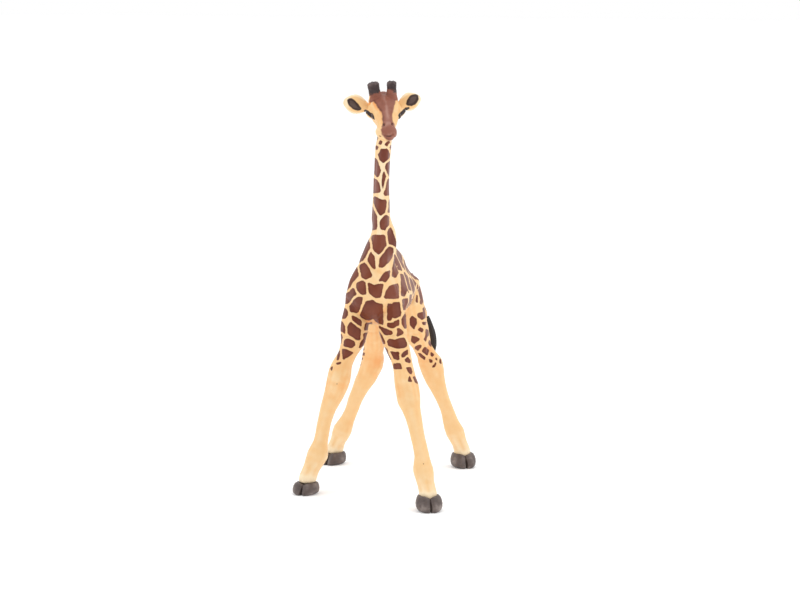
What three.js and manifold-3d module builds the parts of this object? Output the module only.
// A toy giraffe calf, standing with its legs splayed and its head turned a little to its left.
// It is a vinyl figure: the torso, neck, head, ears, horns, legs, hooves, tail and tuft are separate
// mouldings, and each plugs into the next with a peg in a socket, with a glue line between the two faces.
// Millimetres. +X is the figure's left, -Y is ahead of it, +Z is up, and the hooves stand on z = 0.
import * as THREE from "three";
import { mergeVertices } from "three/addons/utils/BufferGeometryUtils.js";
import Module from "manifold-3d";

const wasm = await Module();
wasm.setup();

// Joints between the mouldings, and how far a cut runs past what it cuts
const glueLine = 0.3;
const pegSides = 12;
const cutOverrun = 1;

// Torso: from the breast to the buttocks, and from the belly to the withers
const breastAhead = 20.4;
const torsoLength = 48.6;
const torsoWidth = 17.8;
const bellyHeight = 47.8;
const withersHeight = 74;
const torsoSides = 24;

// Neck: how far below the withers its root is, how far it rises to the skull, and how it leans
const neckRootBelow = 14;
const neckRise = 48.5;
const neckForwardLean = 13.7;
const neckSideLean = 5.3;
const throatWidth = 4.1;
const throatDepth = 6.9;
const maneHeight = 1.1;
const maneArc = 26;
const neckPegRadius = 1.7;
const neckPegLength = 5;
const neckSides = 18;
const neckRings = 16;

// Head: its length from the poll to the nose, its size over the brow, and where the poll is from the
// neck's end
const headLength = 18.8;
const browWidth = 10.4;
const headDepth = 8;
const pollAbove = 6.1;
const pollBack = 0.7;
const pollToRight = 1.05;
const headPegRadius = 1.05;
const headPegLength = 3.5;
const eyeRadius = 1.3;
const eyeSides = 12;
const eyeRings = 8;
const headSides = 20;

// Ears: thin cups, each on a round stalk
const earLength = 7.9;
const earWidth = 5.2;
const earCup = 1.3;
const earThickness = 0.9;
const earRimShare = 0.35;
const earStalkRadius = 0.95;
const earStalkDepth = 1.6;
const earArcPoints = 7;

// Horns: short blunt posts with a swollen tip, each on a round peg
const hornLength = 4.5;
const hornRadius = 1.3;
const hornTipRadius = 1.48;
const hornPegRadius = 0.7;
const hornPegLength = 1.5;
const hornSides = 14;

// Legs: from the shoulder or hip, inside the torso, down to the top of the hoof
const kneeWidth = 6.9;
const kneeDepth = 6.3;
const hockWidth = 6.6;
const hockDepth = 6.4;

// Pegs at the top and bottom of each leg
const legPegRadius = 1.5;
const legPegLength = 4.5;
const hoofPegRadius = 1;
const hoofPegLength = 2.2;
const legSides = 14;
const legRings = 20;

// Where each hoof stands, from under the leg's root, as shares of the root's height
const stanceShares = {
  front_left: { out: 0.238, ahead: 0.33 },
  front_right: { out: 0.242, ahead: 0.032 },
  rear_left: { out: 0.233, ahead: -0.243 },
  rear_right: { out: 0.267, ahead: -0.2165 },
};

// How far each toe turns out, in degrees
const toeTurns = { front_left: 19, front_right: 12, rear_left: 26, rear_right: 20 };

// Hooves: cloven, flat underneath
const hoofHeight = 4.1;
const hoofSides = 18;
const hoofWidth = 7.2;
const hoofLength = 8.4;
const hoofSetForward = 0.7;
const cleftWidth = 0.9;
const cleftLength = 3;

// Tail: a thin stalk that swings to the figure's left, and the tuft at its end, which hangs behind the
// left leg
const tailDrop = 28;
const tailRadius = 0.85;
const tuftClearance = 1.3;
const tuftLength = 12;
const tuftWidth = 2.5;
const tuftDepth = 2.4;
const tuftPegRadius = 0.45;
const tuftPegLength = 1.6;
const tailSides = 10;
const tailRings = 12;

// Turns of the head, in degrees: to the figure's left, down, and to one side
const headYaw = 17;
const headPitch = 34;
const headRoll = -3.3;

const toRadians = THREE.MathUtils.degToRad;
const xAxis = new THREE.Vector3(1, 0, 0);
const yAxis = new THREE.Vector3(0, 1, 0);
const zAxis = new THREE.Vector3(0, 0, 1);

// A closed three.js geometry as a solid that can be joined and cut
function solidOf(geometry) {
  const bare = geometry.clone();
  bare.deleteAttribute("normal");
  bare.deleteAttribute("uv");
  const merged = mergeVertices(bare);
  return new wasm.Manifold(new wasm.Mesh({
    numProp: 3,
    vertProperties: merged.attributes.position.array,
    triVerts: new Uint32Array(merged.index.array),
  }));
}

function geometryOf(solid) {
  const mesh = solid.getMesh();
  const geometry = new THREE.BufferGeometry();
  geometry.setAttribute("position", new THREE.BufferAttribute(mesh.vertProperties, 3));
  geometry.setIndex(new THREE.BufferAttribute(mesh.triVerts, 1));
  geometry.computeVertexNormals();
  return geometry;
}

// Rings are read from a table twice in each of its rows
const ringPlaceStep = 0.5;

// A smooth curve through the rows of a table, read at a place counted in rows
function between(rows, place) {
  const last = rows.length - 1;
  const row = Math.min(Math.floor(place), last - 1);
  const t = place - row;
  const neighbours = [row - 1, row, row + 1, row + 2];
  const [before, from, to, after] = neighbours.map((i) => rows[Math.max(0, Math.min(last, i))]);
  return from.map((start, k) => {
    const enter = (to[k] - before[k]) / 2;
    const leave = (after[k] - start) / 2;
    const rise = to[k] - start;
    const square = 3 * rise - 2 * enter - leave;
    const cube = enter + leave - 2 * rise;
    return start + t * (enter + t * (square + t * cube));
  });
}

// A closed skin over rings that have as many points each, with flat ends. Rings that run clockwise about
// the direction they are stacked in are read backwards, so that every face points out.
function skin(stack) {
  const sides = stack[0].length;
  const [a, b, c] = [0, 1, 2].map((third) => stack[1][Math.floor((third * sides) / 3)]);
  const facing = new THREE.Vector3().crossVectors(b.clone().sub(a), c.clone().sub(a));
  const clockwise = facing.dot(stack.at(-1)[0].clone().sub(stack[0][0])) < 0;
  const rings = clockwise ? stack.map((points) => [...points].reverse()) : stack;
  const points = rings.flat();
  const faces = [];
  for (let r = 0; r + 1 < rings.length; r++) {
    for (let i = 0; i < sides; i++) {
      const a = r * sides + i;
      const b = r * sides + ((i + 1) % sides);
      faces.push(a, b, b + sides, a, b + sides, a + sides);
    }
  }
  for (const [first, flip] of [[0, true], [(rings.length - 1) * sides, false]]) {
    const centre = new THREE.Vector3();
    for (let i = 0; i < sides; i++) centre.addScaledVector(points[first + i], 1 / sides);
    points.push(centre);
    for (let i = 0; i < sides; i++) {
      const a = first + i;
      const b = first + ((i + 1) % sides);
      faces.push(...(flip ? [b, a, points.length - 1] : [a, b, points.length - 1]));
    }
  }
  return new THREE.BufferGeometry().setFromPoints(points).setIndex(faces);
}

// One ring: wide to each side, with its own reach ahead and behind, narrowed towards the back by a taper,
// and with a ridge down the middle of its back
function ring({ centre, side, ahead, wide, fore, aft, taper = 0, ridge = 0 }, sides) {
  return Array.from({ length: sides }, (_, i) => {
    const turn = (i / sides) * 2 * Math.PI;
    const sine = Math.sin(turn);
    const offCrest = (turn - 1.5 * Math.PI) / toRadians(maneArc);
    const crest = sine < 0 ? ridge * Math.exp(-(offCrest ** 2)) : 0;
    const reach = sine > 0 ? fore * sine : aft * sine - crest;
    const breadth = wide * Math.cos(turn) * (1 - taper * Math.max(0, -sine));
    return centre.clone().addScaledVector(side, breadth).addScaledVector(ahead, reach);
  });
}

// A short step along a path
const nearbyPlace = 0.01;

// A limb: a path with a girth at each row of its table. A place is counted in rows, and a stretch of the
// limb is skinned from one place to another. Each ring lies square to the path, or level where its level
// share is 1.
function limb(rows, turnAt, sides) {
  const upwards = Math.sign(rows.at(-1)[2] - rows[0][2]);
  const placeAt = (place) => new THREE.Vector3(...between(rows, place));
  const frameAt = (place) => {
    const [, , , wide, fore, aft, level, ridge] = between(rows, place);
    const last = rows.length - 1;
    const next = placeAt(Math.min(last, place + nearbyPlace));
    const along = next.sub(placeAt(Math.max(0, place - nearbyPlace))).normalize();
    along.lerp(zAxis.clone().multiplyScalar(upwards), level).normalize();
    const side = xAxis.clone().applyAxisAngle(zAxis, turnAt(place));
    side.addScaledVector(along, -side.dot(along)).normalize();
    const ahead = new THREE.Vector3().crossVectors(side, along).multiplyScalar(upwards).normalize();
    return { centre: placeAt(place), side, ahead, along, wide, fore, aft, ridge };
  };
  const stretch = (from, to, steps = Math.round((to - from) / ringPlaceStep)) => {
    const rings = [];
    for (let i = 0; i <= steps; i++) {
      rings.push(ring(frameAt(from + ((to - from) * i) / steps), sides));
    }
    return skin(rings);
  };
  return { frameAt, stretch, last: rows.length - 1 };
}

// A round post from a point along a direction, for pegs, and for their sockets with a clearance
function post(from, direction, radius, length, sides = pegSides) {
  const geometry = new THREE.CylinderGeometry(radius, radius, length, sides);
  const middle = from.clone().addScaledVector(direction, length / 2);
  geometry.applyQuaternion(new THREE.Quaternion().setFromUnitVectors(yAxis, direction));
  geometry.translate(middle.x, middle.y, middle.z);
  return geometry;
}

// The peg reaches back into its own moulding by its radius, so that the two are one solid
function peg(frame, direction, radius, length) {
  const start = frame.centre.clone().addScaledVector(direction, -radius);
  return solidOf(post(start, direction, radius, length + radius));
}

function socket(frame, direction, radius, length) {
  const start = frame.centre.clone().addScaledVector(direction, -radius);
  return solidOf(post(start, direction, radius + glueLine, length + radius + glueLine));
}

// Torso, as egg-shaped rings that are narrow along the spine and wide at the belly. Shares of the length;
// of the height from belly to withers for the underside, spine and widest level; of half the width; and
// how much the top narrows.
const torsoShares = [
  { along: 0, under: 0.4, spine: 0.52, widest: 0.46, width: 0.18, narrow: 0.2 },
  { along: 0.02, under: 0.3, spine: 0.64, widest: 0.42, width: 0.42, narrow: 0.25 },
  { along: 0.07, under: 0.17, spine: 0.76, widest: 0.38, width: 0.66, narrow: 0.35 },
  { along: 0.15, under: 0.06, spine: 0.86, widest: 0.36, width: 0.86, narrow: 0.45 },
  { along: 0.25, under: 0.01, spine: 0.94, widest: 0.35, width: 0.97, narrow: 0.52 },
  { along: 0.36, under: 0, spine: 1, widest: 0.34, width: 1, narrow: 0.52 },
  { along: 0.48, under: 0.01, spine: 0.94, widest: 0.33, width: 0.98, narrow: 0.47 },
  { along: 0.6, under: 0.04, spine: 0.85, widest: 0.34, width: 0.94, narrow: 0.42 },
  { along: 0.72, under: 0.1, spine: 0.78, widest: 0.36, width: 0.9, narrow: 0.38 },
  { along: 0.83, under: 0.16, spine: 0.7, widest: 0.38, width: 0.84, narrow: 0.35 },
  { along: 0.92, under: 0.22, spine: 0.6, widest: 0.38, width: 0.68, narrow: 0.3 },
  { along: 0.98, under: 0.28, spine: 0.49, widest: 0.38, width: 0.42, narrow: 0.2 },
  { along: 1, under: 0.33, spine: 0.43, widest: 0.38, width: 0.18, narrow: 0.1 },
];

// Where the neck, legs and tail start inside the torso: shares of its length, of its height and of half
// its width
const neckRootShares = { along: 0.224, up: 1, across: 0 };
const shoulderShares = { along: 0.173, up: 0.466, across: 0.517 };
const hipShares = { along: 0.811, up: 0.466, across: 0.472 };
const tailRootShares = { along: 0.889, up: 0.489, across: 0 };

function torsoPoint(shares, hand = 1) {
  return new THREE.Vector3(
    (hand * shares.across * torsoWidth) / 2,
    shares.along * torsoLength - breastAhead,
    bellyHeight + shares.up * (withersHeight - bellyHeight),
  );
}

function torsoSkin() {
  const height = withersHeight - bellyHeight;
  const rows = torsoShares.map((s) => [s.along, s.under, s.spine, s.widest, s.width, s.narrow]);
  const rings = [];
  for (let place = 0; place <= rows.length - 1; place += ringPlaceStep) {
    const [along, under, spine, widest, width, narrow] = between(rows, place);
    rings.push(ring({
      centre: new THREE.Vector3(0, along * torsoLength - breastAhead, bellyHeight + widest * height),
      side: xAxis,
      ahead: zAxis.clone().negate(),
      wide: (width * torsoWidth) / 2,
      fore: (widest - under) * height,
      aft: (spine - widest) * height,
      taper: narrow,
    }, torsoSides));
  }
  return skin(rings);
}

// Neck stations from the root to the skull: shares of the rise, of the two leans, of half the throat's size
// and of the mane's height
const neckShares = [
  { up: 0, side: 0, forward: 0, wide: 2.9, fore: 2.45, aft: 2.3, ridge: 0 },
  { up: 0.12, side: 0.12, forward: 0.09, wide: 2.4, fore: 2.3, aft: 2.2, ridge: 0 },
  { up: 0.215, side: 0.27, forward: 0.19, wide: 1.93, fore: 2.05, aft: 2, ridge: 0.4 },
  { up: 0.28, side: 0.43, forward: 0.26, wide: 1.6, fore: 1.8, aft: 1.8, ridge: 0.8 },
  { up: 0.34, side: 0.49, forward: 0.34, wide: 1.32, fore: 1.55, aft: 1.6, ridge: 1 },
  { up: 0.41, side: 0.52, forward: 0.42, wide: 1.2, fore: 1.35, aft: 1.4, ridge: 1 },
  { up: 0.52, side: 0.6, forward: 0.53, wide: 1.07, fore: 1.17, aft: 1.2, ridge: 1 },
  { up: 0.64, side: 0.69, forward: 0.66, wide: 0.99, fore: 1.03, aft: 1.08, ridge: 1 },
  { up: 0.76, side: 0.8, forward: 0.78, wide: 0.97, fore: 0.95, aft: 1.02, ridge: 1 },
  { up: 0.87, side: 0.91, forward: 0.87, wide: 1, fore: 0.98, aft: 1.04, ridge: 1 },
  { up: 0.95, side: 0.95, forward: 0.94, wide: 1.14, fore: 1, aft: 1, ridge: 0.8 },
  { up: 1, side: 0.97, forward: 1, wide: 1.16, fore: 0.9, aft: 0.85, ridge: 0 },
];
const neckSeatPlace = 2.6;
const headSeatPlace = 9.1;
const neckTurnShare = 0.65;

const neckRoot = torsoPoint(neckRootShares).addScaledVector(zAxis, -neckRootBelow);
const neck = limb(
  neckShares.map((s) => [
    neckRoot.x + s.side * neckSideLean,
    neckRoot.y - s.forward * neckForwardLean,
    neckRoot.z + s.up * neckRise,
    (s.wide * throatWidth) / 2,
    (s.fore * throatDepth) / 2,
    (s.aft * throatDepth) / 2,
    0,
    s.ridge * maneHeight,
  ]),
  (place) => {
    const turned = THREE.MathUtils.smoothstep(place, neckSeatPlace, headSeatPlace);
    return toRadians(headYaw) * neckTurnShare * turned;
  },
  neckSides,
);

// The place along a limb that lies one glue line beyond another place
function pastGlueLine(path, place) {
  const step = path.frameAt(place + nearbyPlace).centre.distanceTo(path.frameAt(place).centre);
  return place + (glueLine * nearbyPlace) / step;
}

// Leg stations from the root to the top of the hoof: the share of the height left above the hoof, and the
// girth as shares of half the knee's or hock's size
const frontLegShares = [
  { up: 1, wide: 0.7, fore: 0.95, aft: 1.2 },
  { up: 0.821, wide: 1.16, fore: 1.46, aft: 1.52 },
  { up: 0.74, wide: 1.06, fore: 1.24, aft: 1.37 },
  { up: 0.645, wide: 0.84, fore: 0.98, aft: 1.02 },
  { up: 0.59, wide: 0.885, fore: 0.98, aft: 0.86 },
  { up: 0.524, wide: 1, fore: 1.14, aft: 0.86 },
  { up: 0.45, wide: 0.87, fore: 0.92, aft: 0.79 },
  { up: 0.366, wide: 0.67, fore: 0.7, aft: 0.7 },
  { up: 0.272, wide: 0.585, fore: 0.62, aft: 0.7 },
  { up: 0.188, wide: 0.6, fore: 0.65, aft: 0.76 },
  { up: 0.123, wide: 0.8, fore: 0.89, aft: 1.08 },
  { up: 0.052, wide: 0.7, fore: 0.825, aft: 0.825 },
  { up: 0, wide: 0.77, fore: 0.95, aft: 0.92 },
];
const rearLegShares = [
  { up: 1, wide: 0.75, fore: 1.5, aft: 1.4 },
  { up: 0.856, wide: 1.09, fore: 2.15, aft: 1.75 },
  { up: 0.73, wide: 1.0, fore: 1.62, aft: 1.4 },
  { up: 0.622, wide: 1.0, fore: 1.09, aft: 1.19 },
  { up: 0.55, wide: 0.92, fore: 0.84, aft: 1.06 },
  { up: 0.487, wide: 1, fore: 0.875, aft: 1.156 },
  { up: 0.415, wide: 0.89, fore: 0.75, aft: 0.9 },
  { up: 0.344, wide: 0.7, fore: 0.656, aft: 0.72 },
  { up: 0.254, wide: 0.59, fore: 0.625, aft: 0.656 },
  { up: 0.173, wide: 0.64, fore: 0.69, aft: 0.75 },
  { up: 0.115, wide: 0.83, fore: 0.9, aft: 1.03 },
  { up: 0.05, wide: 0.68, fore: 0.81, aft: 0.78 },
  { up: 0, wide: 0.77, fore: 0.94, aft: 0.875 },
];

// How far each leg has run out sideways and lengthwise at those stations, as shares of its whole run
const outShares = {
  front_left: [0, 0.056, 0.12, 0.28, 0.37, 0.44, 0.51, 0.62, 0.73, 0.83, 0.87, 0.94, 1],
  front_right: [0, 0.05, 0.12, 0.23, 0.31, 0.36, 0.45, 0.58, 0.68, 0.74, 0.81, 0.92, 1],
  rear_left: [0, 0.06, 0.17, 0.28, 0.33, 0.39, 0.46, 0.565, 0.69, 0.8, 0.865, 0.955, 1],
  rear_right: [0, 0.05, 0.1, 0.13, 0.169, 0.213, 0.313, 0.456, 0.588, 0.725, 0.825, 0.925, 1],
};
const strideShares = {
  front_left: [0, 0.07, 0.17, 0.29, 0.38, 0.46, 0.54, 0.63, 0.74, 0.84, 0.9, 0.955, 1],
  front_right: [0, 0.2, 0.4, 0.7, 0.9, 1.1, 1.05, 0.9, 0.72, 0.6, 0.6, 0.78, 1],
  rear_left: [0, 0.015, 0.09, 0.28, 0.43, 0.54, 0.6, 0.66, 0.74, 0.8, 0.86, 0.93, 1],
  rear_right: [0, 0.017, 0.083, 0.267, 0.42, 0.55, 0.61, 0.66, 0.73, 0.79, 0.84, 0.92, 1],
};
const frontSeatPlace = 2;
const rearSeatPlace = 2.15;
const legTurnPlaces = { from: 1, to: 10 };

function legPath(name) {
  const front = name.startsWith("front");
  const hand = name.endsWith("left") ? 1 : -1;
  const stance = stanceShares[name];
  const root = torsoPoint(front ? shoulderShares : hipShares, hand);
  const footAcross = root.x + hand * stance.out * root.z;
  const footAlong = root.y - stance.ahead * root.z;
  const width = front ? kneeWidth : hockWidth;
  const depth = front ? kneeDepth : hockDepth;
  const shares = front ? frontLegShares : rearLegShares;
  const ankle = hoofHeight + glueLine;
  const rows = shares.map((s, i) => [
    THREE.MathUtils.lerp(root.x, footAcross, outShares[name][i]),
    THREE.MathUtils.lerp(root.y, footAlong, strideShares[name][i]),
    THREE.MathUtils.lerp(ankle, root.z, s.up),
    (s.wide * width) / 2,
    (s.fore * depth) / 2,
    (s.aft * depth) / 2,
    i === shares.length - 1 ? 1 : 0,
    0,
  ]);
  const toe = hand * toRadians(toeTurns[name]);
  const turnAt = (place) => toe * THREE.MathUtils.smoothstep(place, legTurnPlaces.from, legTurnPlaces.to);
  return { ...limb(rows, turnAt, legSides), seat: front ? frontSeatPlace : rearSeatPlace, toe };
}

const legs = Object.fromEntries(Object.keys(stanceShares).map((name) => [name, legPath(name)]));

// Hoof rings from the sole up: shares of the height, of half the width, and of half the length ahead and
// behind
const hoofShares = [
  { up: 0, wide: 0.9, fore: 1.0, aft: 0.74 },
  { up: 0.12, wide: 1, fore: 1.1, aft: 0.82 },
  { up: 0.45, wide: 1, fore: 1.02, aft: 0.86 },
  { up: 0.8, wide: 0.9, fore: 0.84, aft: 0.8 },
  { up: 1, wide: 0.8, fore: 0.74, aft: 0.74 },
];

// The hoof in its own frame, toe along -Y and sole at z = 0
function hoofSolid() {
  const rings = hoofShares.map((s) => ring({
    centre: new THREE.Vector3(0, 0, s.up * hoofHeight),
    side: xAxis,
    ahead: yAxis.clone().negate(),
    wide: (s.wide * hoofWidth) / 2,
    fore: (s.fore * hoofLength) / 2,
    aft: (s.aft * hoofLength) / 2,
  }, hoofSides));
  const body = solidOf(skin(rings));
  const apex = cleftLength - (Math.max(...hoofShares.map((s) => s.fore)) * hoofLength) / 2;
  const mouth = cleftLength + cutOverrun;
  const mouthHalf = (cleftWidth * mouth) / cleftLength / 2;
  const wedge = new THREE.Shape([
    new THREE.Vector2(-mouthHalf, apex - mouth),
    new THREE.Vector2(mouthHalf, apex - mouth),
    new THREE.Vector2(0, apex),
  ]);
  const depth = hoofHeight + 2 * cutOverrun;
  const cleft = new THREE.ExtrudeGeometry(wedge, { depth, bevelEnabled: false });
  cleft.translate(0, 0, -cutOverrun);
  const bore = { centre: new THREE.Vector3(0, hoofSetForward, hoofHeight) };
  return body
    .subtract(solidOf(cleft))
    .subtract(socket(bore, zAxis.clone().negate(), hoofPegRadius, hoofPegLength));
}

// The head's own frame: the poll at the origin, the nose along -Y and the crown along +Z
const headTurn = new THREE.Matrix4().makeRotationZ(toRadians(headYaw))
  .multiply(new THREE.Matrix4().makeRotationX(toRadians(headPitch)))
  .multiply(new THREE.Matrix4().makeRotationY(toRadians(headRoll)));
const headPlace = new THREE.Matrix4()
  .makeTranslation(
    neckRoot.x + neckSideLean - pollToRight,
    neckRoot.y - neckForwardLean + pollBack,
    neckRoot.z + neckRise + pollAbove,
  )
  .multiply(headTurn);

// Head rings from the poll to the nose: shares of the length, of half the width over the brow, and of half
// the depth, and how much the crown narrows
const headShares = [
  { along: 0, wide: 0.25, crown: 0.25, jaw: 0.35, narrow: 0.1 },
  { along: 0.03, wide: 0.46, crown: 0.45, jaw: 0.62, narrow: 0.15 },
  { along: 0.1, wide: 0.66, crown: 0.62, jaw: 1, narrow: 0.25 },
  { along: 0.19, wide: 0.75, crown: 0.7, jaw: 1.25, narrow: 0.25 },
  { along: 0.28, wide: 0.87, crown: 0.76, jaw: 1.28, narrow: 0.22 },
  { along: 0.37, wide: 0.96, crown: 0.74, jaw: 1.18, narrow: 0.2 },
  { along: 0.46, wide: 0.88, crown: 0.67, jaw: 1.04, narrow: 0.2 },
  { along: 0.56, wide: 0.75, crown: 0.6, jaw: 0.9, narrow: 0.3 },
  { along: 0.67, wide: 0.6, crown: 0.54, jaw: 0.77, narrow: 0.25 },
  { along: 0.78, wide: 0.43, crown: 0.52, jaw: 0.66, narrow: 0.1 },
  { along: 0.88, wide: 0.44, crown: 0.48, jaw: 0.6, narrow: 0.05 },
  { along: 0.96, wide: 0.38, crown: 0.34, jaw: 0.44, narrow: 0 },
  { along: 1, wide: 0.2, crown: 0.16, jaw: 0.2, narrow: 0 },
];
const eyeShares = { along: 0.42, across: 0.86, up: -0.1 };
const earSeatShares = { along: 0.2, across: 0.62, up: -0.38 };
const hornSeatShares = { along: 0.19, across: 0.41, up: 0.47 };

function headPoint(shares, hand) {
  return new THREE.Vector3(
    (hand * shares.across * browWidth) / 2,
    -shares.along * headLength,
    (shares.up * headDepth) / 2,
  );
}

// Directions in the head's frame: where the ears point and face, and where the horns point
const earAimShares = { out: 1, back: 0.27, up: 0.18 };
const earFacingShares = { out: 0.15, back: -0.8, up: 0.6 };
const hornAimShares = { out: 0.08, back: 0.5, up: 1 };

function headDirection(shares, hand) {
  return new THREE.Vector3(hand * shares.out, shares.back, shares.up).normalize();
}

function headSkin() {
  const rows = headShares.map((s) => [s.along, s.wide, s.crown, s.jaw, s.narrow]);
  const rings = [];
  for (let place = 0; place <= rows.length - 1; place += ringPlaceStep) {
    const [along, wide, crown, jaw, narrow] = between(rows, place);
    rings.push(ring({
      centre: new THREE.Vector3(0, -along * headLength, 0),
      side: xAxis,
      ahead: zAxis.clone().negate(),
      wide: (wide * browWidth) / 2,
      fore: (jaw * headDepth) / 2,
      aft: (crown * headDepth) / 2,
      taper: narrow,
    }, headSides));
  }
  return skin(rings);
}

// An ear in its own frame: the stalk along +Z from the seat, the cup open towards -Y
const earShares = [
  { along: 0.12, wide: 0.34, cup: 0 },
  { along: 0.22, wide: 0.52, cup: 0.35 },
  { along: 0.35, wide: 0.8, cup: 0.8 },
  { along: 0.5, wide: 0.98, cup: 1 },
  { along: 0.65, wide: 0.98, cup: 0.95 },
  { along: 0.8, wide: 0.8, cup: 0.7 },
  { along: 0.92, wide: 0.46, cup: 0.35 },
  { along: 1, wide: 0.12, cup: 0.1 },
];

function earSolid() {
  const acrossShares = Array.from({ length: earArcPoints }, (_, i) => 1 - (2 * i) / (earArcPoints - 1));
  const rings = earShares.map((s) => [1, -1].flatMap((face) => acrossShares.map((share) => {
    const across = face * share;
    const bulge = 1 - across * across;
    const thick = (face * earThickness * Math.max(Math.sqrt(bulge), earRimShare)) / 2;
    const dish = s.cup * earCup * (bulge - 1 / 2);
    return new THREE.Vector3((across * s.wide * earWidth) / 2, dish + thick, s.along * earLength);
  })));
  const stalkLength = earStalkDepth + earLength * earShares[1].along;
  const stalk = post(new THREE.Vector3(), zAxis, earStalkRadius, stalkLength);
  return solidOf(skin(rings)).add(solidOf(stalk));
}

// A horn in its own frame, standing along +Z on its seat, with its peg below
const hornProfileShares = [
  { radius: 1, up: 0 },
  { radius: 1, up: 0.3 },
  { radius: 0.97, up: 0.55 },
  { radius: 1, up: 0.72, tip: true },
  { radius: 1, up: 0.88, tip: true },
  { radius: 0.76, up: 0.97, tip: true },
];

function hornGeometry() {
  const outline = hornProfileShares.map((s) => new THREE.Vector2(
    s.radius * (s.tip ? hornTipRadius : hornRadius),
    s.up * hornLength,
  ));
  outline.unshift(
    new THREE.Vector2(0, -hornPegLength),
    new THREE.Vector2(hornPegRadius, -hornPegLength),
    new THREE.Vector2(hornPegRadius, 0),
  );
  outline.push(new THREE.Vector2(0, hornLength));
  return new THREE.LatheGeometry(outline, hornSides).rotateX(Math.PI / 2);
}

// The tail and its tuft, as one path from inside the rump: shares of the drop, of the way to the tuft's
// tip sideways and behind, and of the stalk's radius or half the tuft's size
const tailShares = [
  { down: 0, swing: 0.021, behind: 0, wide: 1.2, deep: 1.2 },
  { down: 0.01, swing: 0.103, behind: 0.484, wide: 1.15, deep: 1.15 },
  { down: 0.12, swing: 0.278, behind: 0.828, wide: 1, deep: 1 },
  { down: 0.3, swing: 0.577, behind: 0.968, wide: 0.9, deep: 0.9 },
  { down: 0.5, swing: 0.845, behind: 0.989, wide: 0.85, deep: 0.85 },
];
const tuftShares = [
  { down: 0, swing: 0.887, behind: 0.989, wide: 0.6, deep: 0.6 },
  { down: 0.18, swing: 0.969, behind: 0.989, wide: 0.85, deep: 0.85 },
  { down: 0.4, swing: 1.062, behind: 0.978, wide: 1, deep: 1 },
  { down: 0.64, swing: 1.093, behind: 0.968, wide: 0.92, deep: 0.95 },
  { down: 0.84, swing: 1.052, behind: 0.978, wide: 0.6, deep: 0.7 },
  { down: 1, swing: 1, behind: 1, wide: 0.2, deep: 0.25 },
];

// The frame of a limb where its middle comes down to a height
function frameAtHeight(path, height) {
  let [above, below] = [0, path.last];
  while (below - above > nearbyPlace) {
    const middle = (above + below) / 2;
    if (path.frameAt(middle).centre.z > height) above = middle;
    else below = middle;
  }
  return path.frameAt(below);
}

const tailRoot = torsoPoint(tailRootShares);
const tuftTip = tailRoot.z - tailDrop * tailShares.at(-1).down - glueLine - tuftLength;
const hock = frameAtHeight(legs.rear_left, tuftTip);
const tipAcross = hock.centre.x;
const tipBehind = hock.centre.y + hock.aft + tuftClearance;

function tailPath(shares, drop, top, wide, deep) {
  return limb(
    shares.map((s) => [
      THREE.MathUtils.lerp(tailRoot.x, tipAcross, s.swing),
      THREE.MathUtils.lerp(tailRoot.y, tipBehind, s.behind),
      top - s.down * drop,
      s.wide * wide,
      s.deep * deep,
      s.deep * deep,
      0,
      0,
    ]),
    () => 0,
    tailSides,
  );
}

const tailClearPlace = 3;
const tail = tailPath(tailShares, tailDrop, tailRoot.z, tailRadius, tailRadius);
const tuftTop = tail.frameAt(tail.last).centre.z - glueLine;
const tuft = tailPath(tuftShares, tuftLength, tuftTop, tuftWidth / 2, tuftDepth / 2);

// The mouldings, each a closed solid in the figure's frame or, for ears, horns and hooves, in its own
function torsoSolid() {
  let body = solidOf(torsoSkin()).add(solidOf(neck.stretch(0, neckSeatPlace)));
  for (const leg of Object.values(legs)) body = body.add(solidOf(leg.stretch(0, leg.seat)));
  for (const leg of Object.values(legs)) {
    const seat = leg.frameAt(leg.seat);
    body = body.subtract(socket(seat, seat.along.clone().negate(), legPegRadius, legPegLength));
  }
  const neckSeat = neck.frameAt(neckSeatPlace);
  const tailSeat = tail.frameAt(0);
  const boreRadius = tailRadius + glueLine;
  const bore = tailPath(tailShares, tailDrop, tailRoot.z, boreRadius, boreRadius);
  const floor = post(tailSeat.centre, tailSeat.along.clone().negate(), bore.frameAt(0).wide, glueLine);
  return body
    .subtract(socket(neckSeat, neckSeat.along.clone().negate(), neckPegRadius, neckPegLength))
    .subtract(solidOf(bore.stretch(0, tailClearPlace)))
    .subtract(solidOf(floor));
}

function neckSolid() {
  const from = pastGlueLine(neck, neckSeatPlace);
  const base = neck.frameAt(from);
  const top = neck.frameAt(headSeatPlace);
  return solidOf(neck.stretch(from, headSeatPlace, neckRings))
    .add(peg(base, base.along.clone().negate(), neckPegRadius, neckPegLength))
    .add(peg(top, top.along, headPegRadius, headPegLength));
}

function headSolid() {
  const from = pastGlueLine(neck, headSeatPlace);
  const seat = neck.frameAt(from);
  let skull = solidOf(headSkin());
  for (const hand of [1, -1]) {
    const eye = headPoint(eyeShares, hand);
    const ball = new THREE.SphereGeometry(eyeRadius, eyeSides, eyeRings).translate(eye.x, eye.y, eye.z);
    skull = skull.add(solidOf(ball));
  }
  for (const hand of [1, -1]) {
    const ear = headPoint(earSeatShares, hand);
    const horn = headPoint(hornSeatShares, hand);
    const hornAim = headDirection(hornAimShares, hand);
    const earBore = post(ear, headDirection(earAimShares, hand), earStalkRadius + glueLine, browWidth);
    const hornFlat = post(horn, hornAim, hornRadius + glueLine, browWidth, hornSides);
    skull = skull
      .subtract(solidOf(earBore))
      .subtract(solidOf(hornFlat))
      .subtract(socket({ centre: horn }, hornAim.negate(), hornPegRadius, hornPegLength - glueLine));
  }
  const placed = solidOf(geometryOf(skull).applyMatrix4(headPlace));
  return placed
    .add(solidOf(neck.stretch(from, neck.last)))
    .subtract(socket(seat, seat.along, headPegRadius, headPegLength));
}

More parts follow.
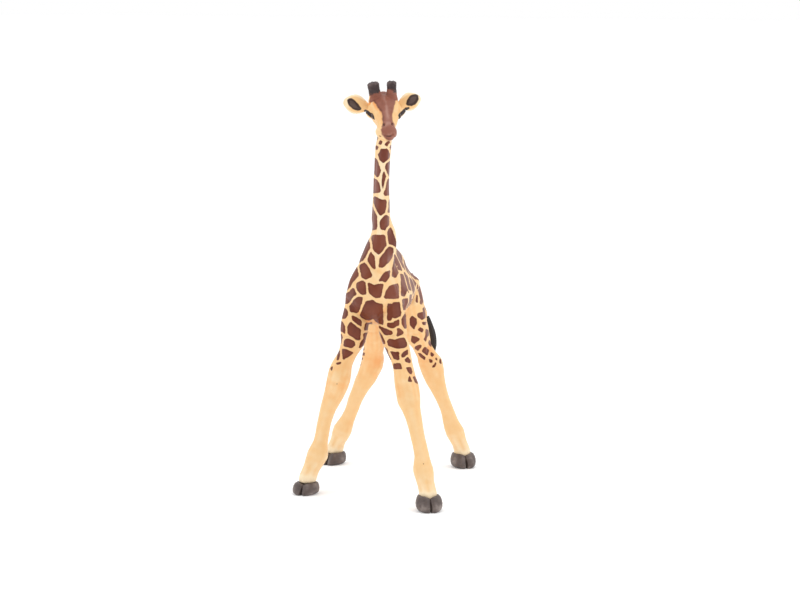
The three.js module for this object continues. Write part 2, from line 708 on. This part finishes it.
function legSolid(leg) {
  const from = pastGlueLine(leg, leg.seat);
  const top = leg.frameAt(from);
  const ankle = leg.frameAt(leg.last);
  return solidOf(leg.stretch(from, leg.last, legRings))
    .add(peg(top, top.along.clone().negate(), legPegRadius, legPegLength))
    .add(peg(ankle, zAxis.clone().negate(), hoofPegRadius, hoofPegLength));
}

function tailSolid() {
  const end = tail.frameAt(tail.last);
  const stalk = solidOf(tail.stretch(0, tail.last, tailRings));
  return stalk.add(peg(end, end.along, tuftPegRadius, tuftPegLength));
}

function tuftSolid() {
  const end = tail.frameAt(tail.last);
  const bore = socket(end, end.along, tuftPegRadius, tuftPegLength);
  return solidOf(tuft.stretch(0, tuft.last, tailRings)).subtract(bore);
}

// Finishes
const plainCoat = new THREE.MeshStandardMaterial({ color: 0xf3c98c, roughness: 0.5, metalness: 0 });
const spottedCoat = new THREE.MeshStandardMaterial({ color: 0x7a3b28, roughness: 0.45, metalness: 0 });
const hornBrown = new THREE.MeshStandardMaterial({ color: 0x4a302a, roughness: 0.6, metalness: 0 });
const hoofGrey = new THREE.MeshStandardMaterial({ color: 0x4d423f, roughness: 0.5, metalness: 0 });
const tuftBlack = new THREE.MeshStandardMaterial({ color: 0x26282b, roughness: 0.6, metalness: 0 });

function moulding(name, geometry, material) {
  const mesh = new THREE.Mesh(geometry, material);
  mesh.name = name;
  return mesh;
}

// Turns a piece made along +Z, and open towards -Y, to point and face as asked
function aimed(mesh, at, aim, facing) {
  const across = new THREE.Vector3().crossVectors(aim, facing).normalize();
  const back = new THREE.Vector3().crossVectors(aim, across).normalize();
  mesh.applyMatrix4(new THREE.Matrix4().makeBasis(across.negate(), back.negate(), aim));
  mesh.position.copy(at);
  return mesh;
}

const figure = new THREE.Group();
figure.add(
  moulding("torso", geometryOf(torsoSolid()), spottedCoat),
  moulding("neck", geometryOf(neckSolid()), spottedCoat),
  moulding("head", geometryOf(headSolid()), plainCoat),
  moulding("tail", geometryOf(tailSolid()), plainCoat),
  moulding("tail_tuft", geometryOf(tuftSolid()), tuftBlack),
);

const headGroup = new THREE.Group();
headGroup.applyMatrix4(headPlace);
for (const [side, hand] of [["left", 1], ["right", -1]]) {
  const earAim = headDirection(earAimShares, hand);
  const earAt = headPoint(earSeatShares, hand).addScaledVector(earAim, glueLine);
  const ear = moulding(`${side}_ear`, geometryOf(earSolid()), plainCoat);
  headGroup.add(aimed(ear, earAt, earAim, headDirection(earFacingShares, hand)));
  const hornAim = headDirection(hornAimShares, hand);
  const hornAt = headPoint(hornSeatShares, hand).addScaledVector(hornAim, glueLine);
  const stub = moulding(`${side}_horn`, hornGeometry(), hornBrown);
  headGroup.add(aimed(stub, hornAt, hornAim, yAxis.clone().negate()));
}
figure.add(headGroup);

for (const [name, leg] of Object.entries(legs)) {
  figure.add(moulding(`${name}_leg`, geometryOf(legSolid(leg)), plainCoat));
  const foot = moulding(`${name}_hoof`, geometryOf(hoofSolid()), hoofGrey);
  const ankle = leg.frameAt(leg.last).centre;
  const forward = yAxis.clone().negate().applyAxisAngle(zAxis, leg.toe);
  foot.position.set(ankle.x, ankle.y, 0).addScaledVector(forward, hoofSetForward);
  foot.rotation.z = leg.toe;
  figure.add(foot);
}

// The origin is the middle of the figure's outline, on the surface that it stands on
const outline = new THREE.Box3().setFromObject(figure, true);
const middle = outline.getCenter(new THREE.Vector3());
figure.position.set(-middle.x, -middle.y, -outline.min.z);

export default figure;
